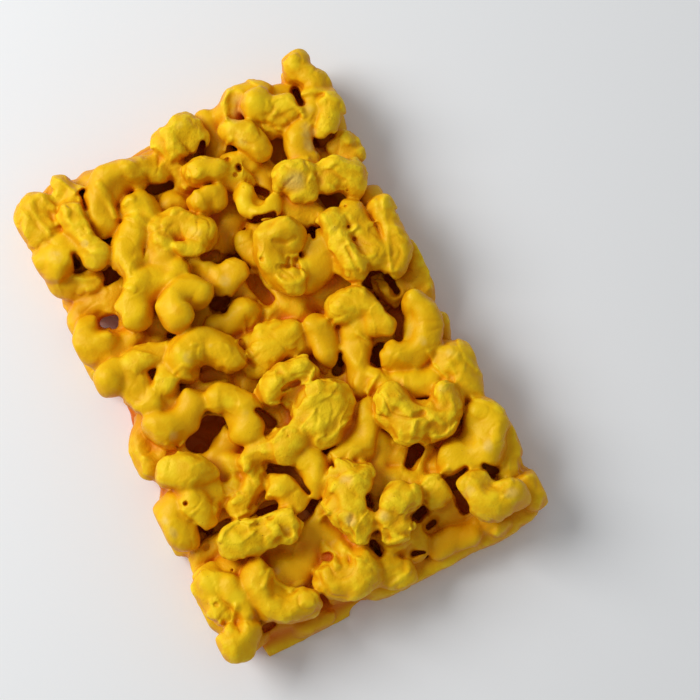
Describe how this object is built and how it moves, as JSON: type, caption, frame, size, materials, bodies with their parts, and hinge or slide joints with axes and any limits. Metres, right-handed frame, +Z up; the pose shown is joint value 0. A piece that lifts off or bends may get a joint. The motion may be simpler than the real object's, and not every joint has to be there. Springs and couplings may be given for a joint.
{
  "type": "nut brittle slab",
  "caption": "Rectangular moulded slab of whole nuts, two deep, enrobed in a thick satin yellow chocolate-like coat, with a flat bottom.",
  "frame": {"origin": "middle of the flat bottom of the slab", "axes": "+Y along the slab's long side, +X along its short side, +Z up out of the flat bottom"},
  "size_m": [0.118, 0.1798, 0.0291],
  "materials": {
    "coat": "satin yellow chocolate-like coat, glossier where it is smooth and dull where it is wrinkled"
  },
  "bodies": {
    "root": {"nut_slab": "coat"}
  },
  "joints": []
}
